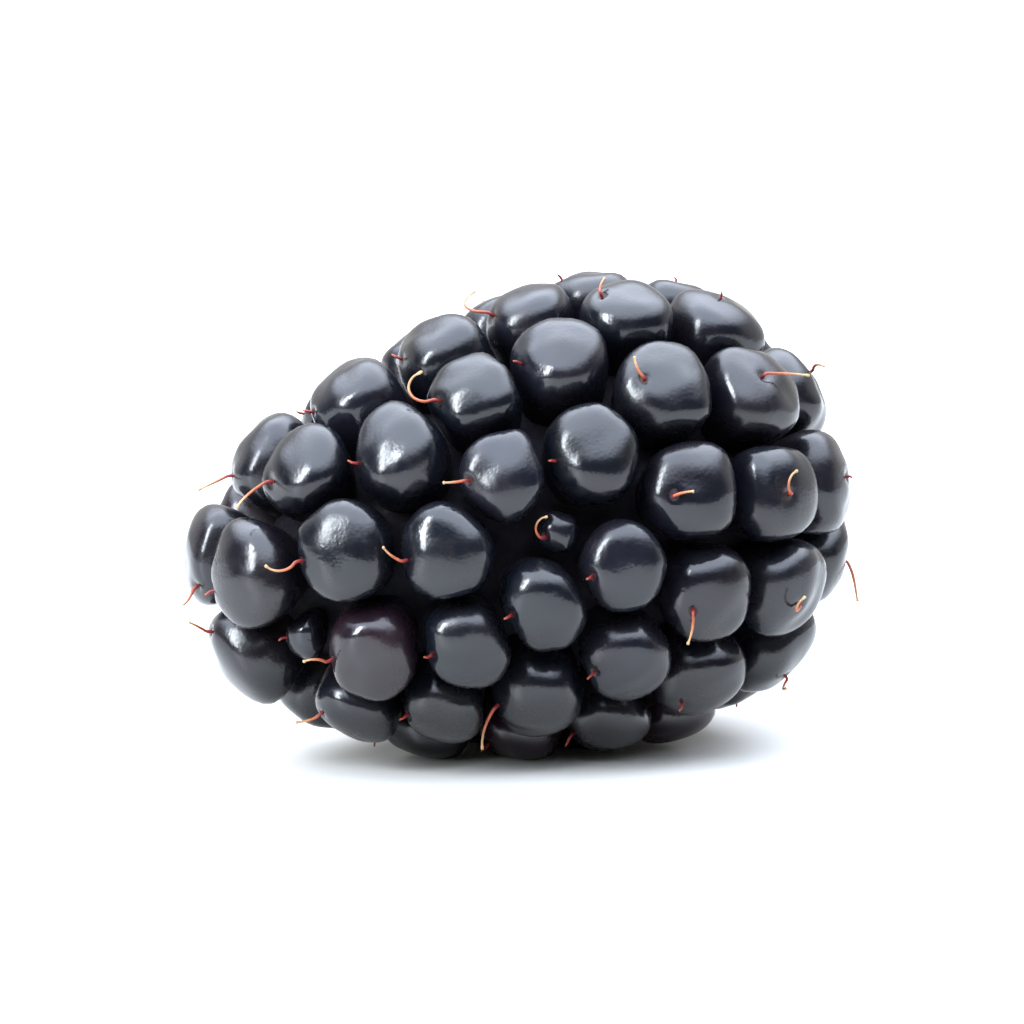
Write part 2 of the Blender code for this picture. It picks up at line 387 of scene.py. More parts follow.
def meshFrom(name, points, faces):
    mesh = bpy.data.meshes.new(name)
    mesh.from_pydata([tuple(point) for point in points * mm], [], faces)
    mesh.update()
    return mesh


def addObject(name, mesh):
    made = bpy.data.objects.new(name, mesh)
    bpy.context.scene.collection.objects.link(made)
    return made


def writeAttribute(mesh, name, values):
    held = mesh.attributes.get(name) or mesh.attributes.new(name, "FLOAT", "POINT")
    held.data.foreach_set("value", np.asarray(values, np.float32))


def smoothStep(low, high, values):
    share = np.clip((values - low) / (high - low), 0.0, 1.0)
    return share * share * (3.0 - 2.0 * share)


# Gentle unevenness: a few crossing waves
def lumpField(points, size, seed):
    rng = random.Random(seed)
    total = np.zeros(len(points))
    waves = 7
    for _ in range(waves):
        wave = Vector([rng.gauss(0.0, 1.0) for _ in range(3)]).normalized()
        wave *= rng.uniform(0.7, 1.5) * math.tau / size
        total += np.sin(points @ np.array(wave) + rng.uniform(0.0, math.tau))
    return total / math.sqrt(0.5 * waves)


# A ball with its pole up, and its rings closer together towards that pole
def ballTemplate():
    shape = bmesh.new()
    segments, rings = skinShape["ballSegments"], skinShape["ballRings"]
    bmesh.ops.create_uvsphere(shape, u_segments=segments, v_segments=rings, radius=1.0)
    ways = np.array([corner.co.normalized() for corner in shape.verts])
    faces = [[corner.index for corner in face.verts] for face in shape.faces]
    shape.free()
    fromPole = np.arccos(np.clip(ways[:, 2], -1.0, 1.0))
    turned = math.pi * (fromPole / math.pi) ** skinShape["footFineness"]
    around = np.arctan2(ways[:, 1], ways[:, 0])
    across = np.sin(turned)
    return np.vstack([across * np.cos(around), across * np.sin(around), np.cos(turned)]).T, faces


def drupeletPoints(number, template):
    axis = axes[number]
    ways = template @ np.array(feet[number].to_track_quat("Z", "Y").to_matrix()).T
    radius = radii[number]
    squareness = skinShape["stuntedSquareness" if radius < layout["stunted"] else "squareness"]
    reach = skinReach(ways, axis, radius, planes[number], skinShape["swell"], squareness)
    points = ways * reach[:, None]
    lumps = lumpField(points, skinShape["lumpSize"], skinShape["lumpSeed"] + number)
    away = np.linalg.norm(points - np.array(feet[number]) * radius * layout["reach"], axis=1)
    dimple = np.exp(-((away / skinShape["dimpleWidth"]) ** 2))
    reach = reach + skinShape["lumpHeight"] * lumps - skinShape["dimpleDepth"] * dimple
    return np.array(places[number]) + ways * reach[:, None]


# For each point the drupelet that it belongs to, and how far it lies from the seam with the next one
def toSeam(points):
    centres = np.array(places)
    squares = [((points - centre) ** 2).sum(axis=1) for centre in centres]
    power = np.stack(squares, axis=1) - np.array(radii) ** 2
    order = np.argsort(power, axis=1)
    rows = np.arange(len(points))
    first = order[:, 0]
    second = order[:, 1]
    apart = np.linalg.norm(centres[first] - centres[second], axis=1)
    return first, (power[rows, second] - power[rows, first]) / (2.0 * apart)


# The flesh at the stem end rises to a rim and sinks into the hollow that the stalk left
def endHeight(turn, endRadius):
    away = endRadius * math.cos(turn) / skinShape["hollowWidth"]
    hollow = skinShape["hollowDepth"] * math.exp(-(away**4))
    return skinShape["endStation"] + skinShape["endRise"] * math.sin(turn) - hollow


def fleshBody():
    depth = skinShape["fleshDepth"]
    first = -layout["halfLength"] + depth + skinShape["tipCut"]
    last = skinShape["endStation"]
    outlinePoints = []
    for k in range(skinShape["fleshStations"]):
        share = k / (skinShape["fleshStations"] - 1)
        bunched = skinShape["bunching"] * math.sin(math.tau * share) * (share - 1.0) * share
        station = first + (last - first) * (share + bunched)
        outlinePoints.append((station, profileRadius(station, depth)))
    endRadius = outlinePoints[-1][1]
    for k in range(1, skinShape["fleshEndRings"]):
        turn = math.radians(90.0 * k / skinShape["fleshEndRings"])
        outlinePoints.append((endHeight(turn, endRadius), endRadius * math.cos(turn)))
    turns = skinShape["fleshTurns"]
    rows = []
    for station, radius in outlinePoints:
        for k in range(turns):
            angle = math.tau * k / turns
            rows.append((station, -radius * math.sin(angle), -radius * math.cos(angle)))
    points = np.array(rows)
    inward = points * np.array([skinShape["grooveSlant"], 1.0, 1.0])
    inward /= np.linalg.norm(inward, axis=1)[:, None]
    _, offSeam = toSeam(points)
    points -= inward * (skinShape["grooveDepth"] * np.exp(-offSeam / skinShape["grooveWidth"]))[:, None]
    faces = []
    for row in range(len(outlinePoints) - 1):
        low, high = row * turns, (row + 1) * turns
        for k in range(turns):
            after = (k + 1) % turns
            faces.append((low + k, high + k, high + after, low + after))
    tipPoint = np.array([[first - skinShape["tipPoint"], 0.0, 0.0]])
    endPoint = np.array([[endHeight(math.radians(90.0), endRadius), 0.0, 0.0]])
    points = np.vstack([points, tipPoint, endPoint])
    tipIndex = len(points) - 2
    endIndex = len(points) - 1
    lastRow = (len(outlinePoints) - 1) * turns
    for k in range(turns):
        after = (k + 1) % turns
        faces.append((tipIndex, k, after))
        faces.append((endIndex, lastRow + after, lastRow + k))
    return points, faces


def makeSkin(skinMaterial, fleshShadeMaterial):
    template, faces = ballTemplate()
    gathered = bpy.data.collections.new("drupelet balls")
    bpy.context.scene.collection.children.link(gathered)
    for number in range(len(drupelets)):
        points = toWorld(drupeletPoints(number, template))
        ball = bpy.data.objects.new(f"ball{number}", meshFrom(f"ball{number}", points, faces))
        ball.data.materials.append(skinMaterial)
        gathered.objects.link(ball)
    points, faces = fleshBody()
    flesh = addObject("drupelets_and_flesh", meshFrom("drupelets_and_flesh", toWorld(points), faces))
    flesh.data.materials.append(fleshShadeMaterial)
    grown = flesh.modifiers.new("grown together", "BOOLEAN")
    grown.operation = "UNION"
    grown.solver = "MANIFOLD"
    grown.material_mode = "TRANSFER"
    grown.operand_type = "COLLECTION"
    grown.collection = gathered
    bpy.context.view_layer.update()
    whole = bpy.data.meshes.new_from_object(flesh.evaluated_get(bpy.context.evaluated_depsgraph_get()))
    flesh.modifiers.clear()
    flesh.data = whole
    for ball in list(gathered.objects):
        bpy.data.objects.remove(ball, do_unlink=True)
    bpy.data.collections.remove(gathered)
    cleanSeams(whole)
    flattenBelow(whole)
    describeSkin(whole)
    whole.shade_smooth()
    whole.set_sharp_from_angle(angle=math.radians(skinShape["sharpFrom"]))
    return flesh


def pointsOf(mesh):
    held = np.zeros(len(mesh.vertices) * 3)
    mesh.vertices.foreach_get("co", held)
    return held.reshape(-1, 3) / mm


# Slivers along the seams fold shut when their corners are joined, and the folded pairs go
def cleanSeams(mesh):
    shape = bmesh.new()
    shape.from_mesh(mesh)
    bmesh.ops.remove_doubles(shape, verts=shape.verts, dist=skinShape["weld"] * mm)
    bmesh.ops.triangulate(shape, faces=shape.faces)
    sameCorners = {}
    for face in shape.faces:
        sameCorners.setdefault(frozenset(face.verts), []).append(face)
    folded = [face for faces in sameCorners.values() if len(faces) > 1 for face in faces]
    bmesh.ops.delete(shape, geom=folded, context="FACES")
    shape.to_mesh(mesh)
    shape.free()


# The lowest drupelets are pressed flat where the fruit lies
def flattenBelow(mesh):
    points = pointsOf(mesh)
    points[:, 2] = np.maximum(points[:, 2], 0.0)
    mesh.vertices.foreach_set("co", (points * mm).ravel())
    mesh.update()


# Which drupelets are less ripe, and how much
blushed = {
    "chosen": {3: 0.05, 4: 0.3, 13: 0.0, 22: 0.0, 24: 0.0, 33: 0.05, 34: 0.0, 45: 0.05, 55: 0.05},
    "chance": 0.07,
    "least": 0.25,
    "most": 0.4,
    "elsewhere": 0.07,  # the most on an ordinary drupelet
    "seed": 5,
    "toneSeed": 31,
}


def blushValues():
    rng = random.Random(blushed["seed"])
    values = []
    for number in range(len(drupelets)):
        if rng.random() < blushed["chance"]:
            amount = rng.uniform(blushed["least"], blushed["most"])
        else:
            amount = rng.uniform(0.0, blushed["elsewhere"])
        values.append(blushed["chosen"].get(number, amount))
    return np.array(values)


# Writes on the mesh what its finish varies by; seamDepth also sets the painted shade that darkens each
# drupelet towards its seams
def describeSkin(mesh):
    points = toLayout(pointsOf(mesh))
    owner, _ = toSeam(points)
    away = points - np.array(places)[owner]
    ownRadius = np.array(radii)[owner]
    outward = np.array([drupelet.outward() for drupelet in drupelets])[owner]
    height = (away * outward).sum(axis=1) / ownRadius
    foot = np.array(feet)[owner] * ownRadius[:, None] * layout["reach"]
    toFoot = np.linalg.norm(away - foot, axis=1)
    inSeam = 1.0 - smoothStep(skinShape["seamFloor"], skinShape["seamTop"], height)
    rng = random.Random(blushed["toneSeed"])
    tones = np.array([rng.random() for _ in drupelets])
    writeAttribute(mesh, "blush", blushValues()[owner])
    writeAttribute(mesh, "tone", tones[owner])
    writeAttribute(mesh, "seamDepth", inSeam)
    writeAttribute(mesh, "styleScar", np.exp(-((toFoot / skinShape["scarWidth"]) ** 2)))


# Node helpers
def newNode(tree, kind, place=(0, 0), **settings):
    node = tree.nodes.new(kind)
    node.location = place
    for name, value in settings.items():
        setattr(node, name, value)
    return node


def newGroup(name, takes, gives):
    group = bpy.data.node_groups.new(name, "ShaderNodeTree")
    for label, kind, start in takes:
        socket = group.interface.new_socket(name=label, in_out="INPUT", socket_type=kind)
        if start is not None:
            socket.default_value = start
    for label, kind in gives:
        group.interface.new_socket(name=label, in_out="OUTPUT", socket_type=kind)
    takenIn = newNode(group, "NodeGroupInput", (-900, 0))
    return group, takenIn, newNode(group, "NodeGroupOutput", (700, 0))


def link(tree, start, end):
    tree.links.new(start, end)


def mathNode(tree, operation, first, second, place=(0, 0), third=None, clamp=False):
    node = newNode(tree, "ShaderNodeMath", place, operation=operation, use_clamp=clamp)
    for socket, value in zip(node.inputs, (first, second, third)):
        if isinstance(value, (int, float)):
            socket.default_value = value
        elif value is not None:
            link(tree, value, socket)
    return node.outputs[0]


def mixColours(tree, share, first, second, place=(0, 0), blend="MIX"):
    node = newNode(tree, "ShaderNodeMix", place, data_type="RGBA", blend_type=blend)
    for socket, value in ((node.inputs[0], share), (node.inputs[6], first), (node.inputs[7], second)):
        if isinstance(value, (int, float)):
            socket.default_value = value
        elif isinstance(value, tuple):
            socket.default_value = (*value, 1.0)
        else:
            link(tree, value, socket)
    return node.outputs[2]


def mapRange(tree, value, fromLow, fromHigh, toLow, toHigh, place=(0, 0), kind="LINEAR"):
    node = newNode(tree, "ShaderNodeMapRange", place, interpolation_type=kind, clamp=True)
    link(tree, value, node.inputs["Value"])
    node.inputs["From Min"].default_value = fromLow
    node.inputs["From Max"].default_value = fromHigh
    node.inputs["To Min"].default_value = toLow
    node.inputs["To Max"].default_value = toHigh
    return node.outputs[0]


# A soft mottle between two colours, at two scales
def makeMottleGroup():
    group, takes, gives = newGroup(
        "plant mottle",
        (
            ("First Colour", "NodeSocketColor", (0.01, 0.01, 0.01, 1.0)),
            ("Second Colour", "NodeSocketColor", (0.02, 0.02, 0.02, 1.0)),
            ("Patches per mm", "NodeSocketFloat", 0.5),
            ("Fine Share", "NodeSocketFloat", 0.35),
        ),
        (("Colour", "NodeSocketColor"), ("Mask", "NodeSocketFloat")),
    )
    spot = newNode(group, "ShaderNodeTexCoord", (-900, -300)).outputs["Object"]
    perMetre = mathNode(group, "MULTIPLY", takes.outputs["Patches per mm"], 1000.0, (-700, 100))
    finer = mathNode(group, "MULTIPLY", perMetre, 5.0, (-700, -100))
    broad = newNode(group, "ShaderNodeTexNoise", (-500, 100))
    fine = newNode(group, "ShaderNodeTexNoise", (-500, -200))
    for noise, scale in ((broad, perMetre), (fine, finer)):
        link(group, spot, noise.inputs["Vector"])
        link(group, scale, noise.inputs["Scale"])
        noise.inputs["Detail"].default_value = 3.0
    blend = newNode(group, "ShaderNodeMix", (-250, 0), data_type="FLOAT")
    link(group, takes.outputs["Fine Share"], blend.inputs[0])
    link(group, broad.outputs["Fac"], blend.inputs[2])
    link(group, fine.outputs["Fac"], blend.inputs[3])
    mask = mapRange(group, blend.outputs[0], 0.38, 0.62, 0.0, 1.0, (0, 0), "SMOOTHSTEP")
    first, second = takes.outputs["First Colour"], takes.outputs["Second Colour"]
    colour = mixColours(group, mask, first, second, (300, 0))
    link(group, colour, gives.inputs["Colour"])
    link(group, mask, gives.inputs["Mask"])
    return group


# Fine relief of living skin: shallow cells and a slower swell under them
def makeReliefGroup():
    group, takes, gives = newGroup(
        "fine relief",
        (
            ("Cells per mm", "NodeSocketFloat", 6.0),
            ("Cell Share", "NodeSocketFloat", 0.5),
        ),
        (("Height", "NodeSocketFloat"),),
    )
    spot = newNode(group, "ShaderNodeTexCoord", (-900, -300)).outputs["Object"]
    perMetre = mathNode(group, "MULTIPLY", takes.outputs["Cells per mm"], 1000.0, (-700, 100))
    slower = mathNode(group, "MULTIPLY", perMetre, 0.3, (-700, -100))
    cells = newNode(group, "ShaderNodeTexVoronoi", (-500, 100), feature="SMOOTH_F1")
    link(group, spot, cells.inputs["Vector"])
    link(group, perMetre, cells.inputs["Scale"])
    swell = newNode(group, "ShaderNodeTexNoise", (-500, -200))
    link(group, spot, swell.inputs["Vector"])
    link(group, slower, swell.inputs["Scale"])
    swell.inputs["Detail"].default_value = 2.0
    domed = mathNode(group, "SUBTRACT", 1.0, cells.outputs["Distance"], (-250, 100))
    blend = newNode(group, "ShaderNodeMix", (0, 0), data_type="FLOAT")
    link(group, takes.outputs["Cell Share"], blend.inputs[0])
    link(group, swell.outputs["Fac"], blend.inputs[2])
    link(group, domed, blend.inputs[3])
    link(group, blend.outputs[0], gives.inputs["Height"])
    return group


mottleGroup = makeMottleGroup()
reliefGroup = makeReliefGroup()


def placeGroup(tree, group, place, **values):
    node = newNode(tree, "ShaderNodeGroup", place, node_tree=group)
    for name, value in values.items():
        socket = node.inputs[name]
        socket.default_value = (*value, 1.0) if isinstance(value, tuple) else value
    return node


def placeMottle(tree, place, first, second, look):
    values = {"First Colour": first, "Second Colour": second}
    values.update({"Patches per mm": look["patches"], "Fine Share": look["fineShare"]})
    return placeGroup(tree, mottleGroup, place, **values)


def roughen(tree, surface, place, look):
    values = {"Cells per mm": look["cells"], "Cell Share": look["cellShare"]}
    relief = placeGroup(tree, reliefGroup, place, **values)
    bump = newNode(tree, "ShaderNodeBump", (place[0] + 400, place[1]))
    bump.inputs["Distance"].default_value = look["reliefDepth"]
    link(tree, relief.outputs["Height"], bump.inputs["Height"])
    link(tree, bump.outputs["Normal"], surface.inputs["Normal"])


def newMaterial(name):
    material = bpy.data.materials.new(name)
    material.use_nodes = True
    return material, material.node_tree, material.node_tree.nodes["Principled BSDF"]


def readAttribute(tree, name, place):
    return newNode(tree, "ShaderNodeAttribute", place, attribute_name=name).outputs["Fac"]


berrySkinLook = {
    "ripe": (0.0036, 0.0048, 0.0078),
    "ripeWarm": (0.0050, 0.0050, 0.0070),
    "blush": (0.026, 0.007, 0.012),
    # painted shade: the colour each drupelet darkens to towards the seams, partly painted shade and
    # partly the flesh's own wine-red tint
    "seam": (0.0030, 0.0012, 0.0018),
    "scar": (0.040, 0.010, 0.006),
    "darkest": 0.75,  # each drupelet has its own tone, from this
    "toneSpread": 0.5,  # to this much more
    "patchiness": 0.35,
    "seamShadeShare": 0.8,
    "scarShare": 0.9,
    "gloss": 0.17,
    "glossSpread": 0.11,
    "seamRoughness": 0.25,
    "scarRoughness": 0.4,
    "scarEdge": 0.45,  # of the scar's strength on the mesh
    "scarHeart": 0.85,
    "ior": 1.5,
    "patches": 0.55,  # per mm
    "fineShare": 0.3,
    "cells": 7.0,  # per mm
    "cellShare": 0.45,
    "reliefDepth": 0.000012,  # metres
}


def makeBerrySkin():
    look = berrySkinLook
    material, tree, surface = newMaterial("ripe berry skin")
    blush = readAttribute(tree, "blush", (-1300, 500))
    tone = readAttribute(tree, "tone", (-1300, 300))
    seam = readAttribute(tree, "seamDepth", (-1300, 100))
    scar = readAttribute(tree, "styleScar", (-1300, -100))
    mottle = placeMottle(tree, (-1050, 600), look["ripe"], look["ripeWarm"], look)
    toned = mathNode(tree, "MULTIPLY_ADD", tone, look["toneSpread"], (-1050, 300), look["darkest"])
    shade = newNode(tree, "ShaderNodeHueSaturation", (-850, 600))
    link(tree, mottle.outputs["Colour"], shade.inputs["Color"])
    link(tree, toned, shade.inputs["Value"])
    worn = mottle.outputs["Mask"]
    patchy = mathNode(tree, "MULTIPLY_ADD", worn, look["patchiness"], (-850, 400), look["darkest"])
    blushShare = mathNode(tree, "MULTIPLY", blush, patchy, (-650, 400), clamp=True)
    coloured = mixColours(tree, blushShare, shade.outputs["Color"], look["blush"], (-450, 500))
    # painted shade: the sides of each drupelet darken towards the seams, by how deep they lie
    seamShadeShare = mathNode(tree, "MULTIPLY", seam, look["seamShadeShare"], (-650, 100))
    seamShaded = mixColours(tree, seamShadeShare, coloured, look["seam"], (-250, 400))
    edge, heart, most = look["scarEdge"], look["scarHeart"], look["scarShare"]
    scarShare = mapRange(tree, scar, edge, heart, 0.0, most, (-450, -100), "SMOOTHSTEP")
    scarred = mixColours(tree, scarShare, seamShaded, look["scar"], (-50, 400))
    link(tree, scarred, surface.inputs["Base Color"])
    dullest = look["gloss"] + look["glossSpread"]
    wornGloss = mapRange(tree, worn, 0.0, 1.0, look["gloss"], dullest, (-450, 200))
    inSeam = mathNode(tree, "MULTIPLY", seam, look["seamRoughness"], (-450, 50))
    rougher = mathNode(tree, "ADD", wornGloss, inSeam, (-250, 150))
    atScar = mathNode(tree, "MULTIPLY", scarShare, look["scarRoughness"], (-250, -50))
    roughness = mathNode(tree, "ADD", rougher, atScar, (-50, 100), clamp=True)
    link(tree, roughness, surface.inputs["Roughness"])
    roughen(tree, surface, (-650, -400), look)
    surface.inputs["IOR"].default_value = look["ior"]
    return material


# The flesh deep between the drupelets, painted near-black with its reflection turned down: painted shade
# for where hardly any light comes back out
gapFleshShade = {
    "wet": (0.0034, 0.0022, 0.0048),
    "dark": (0.0022, 0.0018, 0.0034),
    "shine": 0.10,
    "smoothest": 0.55,
    "roughest": 0.75,
    "patches": 1.2,
    "fineShare": 0.4,
    "cells": 3.0,
    "cellShare": 0.4,
    "reliefDepth": 0.00002,
}


def makeGapFleshShade():
    look = gapFleshShade
    material, tree, surface = newMaterial("painted shade flesh in the gaps")
    mottle = placeMottle(tree, (-850, 300), look["dark"], look["wet"], look)
    link(tree, mottle.outputs["Colour"], surface.inputs["Base Color"])
    smooth, rough = look["smoothest"], look["roughest"]
    roughness = mapRange(tree, mottle.outputs["Mask"], 0.0, 1.0, smooth, rough, (-500, 50))
    link(tree, roughness, surface.inputs["Roughness"])
    roughen(tree, surface, (-850, -200), look)
    # painted shade: the reflection is dimmed so the gaps between the drupelets stay dark
    surface.inputs["Specular IOR Level"].default_value = look["shine"]
    return material


# The end of the receptacle, where the stalk came away
stemCore = {
    "radius": 1.5,
    "station": 10.15,  # along the axis
    "crown": 0.55,
    "dent": 0.22,  # in its middle
    "dentWidth": 0.16,  # in shares of the radius
    "rootDepth": 0.6,
    "ridges": 17,
    "ridgeHeight": 0.13,
    "seed": 77,
    "rings": 26,
    "turns": 136,
    "bruisedFrom": 0.55,  # in shares of the radius, to its rim
    "smoothest": 0.42,
    "roughest": 0.62,
    "patches": 1.4,
    "fineShare": 0.5,
    "cells": 9.0,
    "cellShare": 0.6,
    "reliefDepth": 0.00002,
    "pith": (0.21, 0.165, 0.045),
    "rim": (0.17, 0.070, 0.018),
    "bruise": (0.035, 0.010, 0.007),
}


def makeStemCoreMaterial():
    look = stemCore
    material, tree, surface = newMaterial("receptacle flesh")
    outwardShare = readAttribute(tree, "fromMiddle", (-1100, 200))
    mottle = placeMottle(tree, (-850, 400), look["pith"], look["rim"], look)
    inner = look["bruisedFrom"]
    edge = mapRange(tree, outwardShare, inner, 1.0, 0.0, 1.0, (-850, 100), "SMOOTHSTEP")
    edged = mixColours(tree, edge, mottle.outputs["Colour"], look["bruise"], (-500, 300))
    link(tree, edged, surface.inputs["Base Color"])
    smooth, rough = look["smoothest"], look["roughest"]
    roughness = mapRange(tree, mottle.outputs["Mask"], 0.0, 1.0, smooth, rough, (-500, 50))
    link(tree, roughness, surface.inputs["Roughness"])
    roughen(tree, surface, (-850, -200), look)
    return material


def makeStemCore(material):
    look = stemCore
    rng = random.Random(look["seed"])
    heights = [rng.uniform(0.5, 1.0) for _ in range(look["ridges"])]
    rows = []
    shares = []
    for ring in range(1, look["rings"] + 1):
        share = ring / look["rings"]
        for k in range(look["turns"]):
            angle = math.tau * k / look["turns"]
            turn = look["ridges"] * k / look["turns"]
            ridge = abs(math.sin(math.pi * turn)) * heights[int(turn) % look["ridges"]]
            dent = look["dent"] * math.exp(-((share / look["dentWidth"]) ** 2))
            crown = look["crown"] * (1.0 - share**2.4) - dent
            height = crown + look["ridgeHeight"] * ridge * math.sin(math.pi * min(1.0, share * 1.1))
            uneven = 0.10 * math.sin(2.0 * angle + 0.7) + 0.06 * math.sin(5.0 * angle)
            uneven += 0.03 * math.sin(11.0 * angle)
            radius = share * look["radius"] * (1.0 + uneven * share)
            rows.append((look["station"] + height, -radius * math.sin(angle), -radius * math.cos(angle)))
            shares.append(share)
    turns = look["turns"]
    faces = []
    for ring in range(look["rings"] - 1):
        low, high = ring * turns, (ring + 1) * turns
        for k in range(turns):
            after = (k + 1) % turns
            faces.append((low + k, low + after, high + after, high + k))
    rows.append((look["station"] + look["crown"] - look["dent"], 0.0, 0.0))
    rows.append((look["station"] - look["rootDepth"], 0.0, 0.0))
    shares += [0.0, 1.0]
    top, bottom = len(rows) - 2, len(rows) - 1
    lastRing = (look["rings"] - 1) * turns
    for k in range(turns):
        after = (k + 1) % turns
        faces.append((top, after, k))
        faces.append((bottom, lastRing + k, lastRing + after))
    core = addObject("receptacle_end", meshFrom("receptacle_end", toWorld(np.array(rows)), faces))
    writeAttribute(core.data, "fromMiddle", shares)
    core.data.materials.append(material)
    core.data.shade_smooth()
    return core


# The dried styles
dryStyles = {
    "rootRadius": 0.085,
    "tipRadius": 0.045,
    "knob": 0.0375,  # at the tip
    "knobPlace": 0.96,
    "knobLength": 0.035,
    "rootLength": 0.2,
    "rise": 0.12,  # straight length above the skin, before the curl
    "points": 7,
    "finePoints": 30,
    "sides": 8,
    "flatness": 0.8,
    "shortest": 0.8,  # shorter ones are stubs
    "clearance": 1.0,  # above the ground
    "gap": 0.12,  # kept to the other drupelets
    "lifts": (0.35, 0.6, 0.9, 1.3),  # how steeply it stands off the skin, the first that is clear
    "stubClearance": 0.3,
    "stubLift": 0.7,
    "stubLinePoints": 4,
    "stubFinePoints": 10,
    "stubRootRadius": 0.075,
    "stubTipRadius": 0.040,
    "stubColouring": 0.35,  # how far along a style's colours a stub goes
    "stain": 0.6,
    "smoothest": 0.38,
    "roughest": 0.60,
    "patches": 3.0,
    "fineShare": 0.5,
    "redTo": 0.05,  # the colours change along its length, from here
    "orangeFrom": 0.45,
    "orangeTo": 0.40,
    "paleFrom": 0.95,
    "rootColour": (0.20, 0.009, 0.010),
    "middleColour": (0.36, 0.085, 0.022),
    "tipColour": (0.46, 0.30, 0.14),
    "stainColour": (0.55, 0.42, 0.36),
}


def stylePath(number, lift):
    drupelet = drupelets[number]
    length, lies, curl = drupelet.style
    outward = drupelet.outward()
    foot = footWay(drupelet)
    reach = float(solidReach(np.array([foot]), number)[0])
    along = tipward(outward)
    upward = along.cross(outward)
    points = [places[number] + foot * (reach - dryStyles["rootLength"])]
    points.append(points[0] + foot * (dryStyles["rootLength"] + dryStyles["rise"]))
    count = dryStyles["points"] - 2
    for k in range(count):
        turn = math.radians(lies + curl * k / (count - 1))
        heading = math.cos(turn) * along + math.sin(turn) * upward + lift * outward
        points.append(points[-1] + heading.normalized() * length / count)
    return points


def standsClear(points, number):
    for place in points[1:]:
        if toWorld(np.array([place]))[0, 2] < dryStyles["clearance"]:
            return False
        for other in range(len(drupelets)):
            tooNear = layout["reach"] * radii[other] + dryStyles["gap"]
            if other != number and (place - places[other]).length < tooNear:
                return False
    return True


# A smooth line through the points, evenly refined
def smoothLine(points, count):
    held = [points[0] * 2.0 - points[1]] + list(points) + [points[-1] * 2.0 - points[-2]]
    spans = len(points) - 1
    line = []
    for k in range(count):
        whole = min(spans * k / (count - 1), spans - 0.000001)
        span = int(whole)
        t = whole - span
        a, b, c, d = held[span:span + 4]
        line.append(0.5 * (2.0 * b + (c - a) * t + (2.0 * a - 5.0 * b + 4.0 * c - d) * t * t
                           + (3.0 * b - a - 3.0 * c + d) * t * t * t))
    return line


def styleWidth(share):
    width = dryStyles["rootRadius"] + (dryStyles["tipRadius"] - dryStyles["rootRadius"]) * share
    offKnob = (share - dryStyles["knobPlace"]) / dryStyles["knobLength"]
    return width + dryStyles["knob"] * math.exp(-(offKnob**2))


# One closed tube along a line, with its share of the length at each corner
def addTube(line, widths, points, faces, shares):
    sides, flatness = dryStyles["sides"], dryStyles["flatness"]
    start = len(points)
    forward = (line[1] - line[0]).normalized()
    across = forward.orthogonal().normalized()
    for k, place in enumerate(line):
        ahead = (line[min(k + 1, len(line) - 1)] - line[max(k - 1, 0)]).normalized()
        across = (across - across.dot(ahead) * ahead).normalized()
        up = ahead.cross(across)
        for side in range(sides):
            turn = math.tau * side / sides
            points.append(place + widths[k] * (math.cos(turn) * across + flatness * math.sin(turn) * up))
            shares.append(k / (len(line) - 1))
    for k in range(len(line) - 1):
        for side in range(sides):
            after = (side + 1) % sides
            low, high = start + k * sides, start + (k + 1) * sides
            faces.append((low + side, low + after, high + after, high + side))
    faces.append(tuple(start + side for side in reversed(range(sides))))
    faces.append(tuple(start + (len(line) - 1) * sides + side for side in range(sides)))


def makeDryStyle():
    look = dryStyles
    material, tree, surface = newMaterial("dry style")
    share = readAttribute(tree, "alongStyle", (-1100, 200))
    red, orange = look["redTo"], look["orangeFrom"]
    lower = mapRange(tree, share, red, orange, 0.0, 1.0, (-850, 300), "SMOOTHSTEP")
    orange, pale = look["orangeTo"], look["paleFrom"]
    upper = mapRange(tree, share, orange, pale, 0.0, 1.0, (-850, 50), "SMOOTHSTEP")
    rooted = mixColours(tree, lower, look["rootColour"], look["middleColour"], (-600, 300))
    wholeLength = mixColours(tree, upper, rooted, look["tipColour"], (-400, 200))
    mottle = placeMottle(tree, (-850, -250), (1.0, 1.0, 1.0), look["stainColour"], look)
    stain = mottle.outputs["Colour"]
    stained = mixColours(tree, look["stain"], wholeLength, stain, (-150, 200), "MULTIPLY")
    link(tree, stained, surface.inputs["Base Color"])
    smooth, rough = look["smoothest"], look["roughest"]
    roughness = mapRange(tree, mottle.outputs["Mask"], 0.0, 1.0, smooth, rough, (-400, -150))
    link(tree, roughness, surface.inputs["Roughness"])
    return material


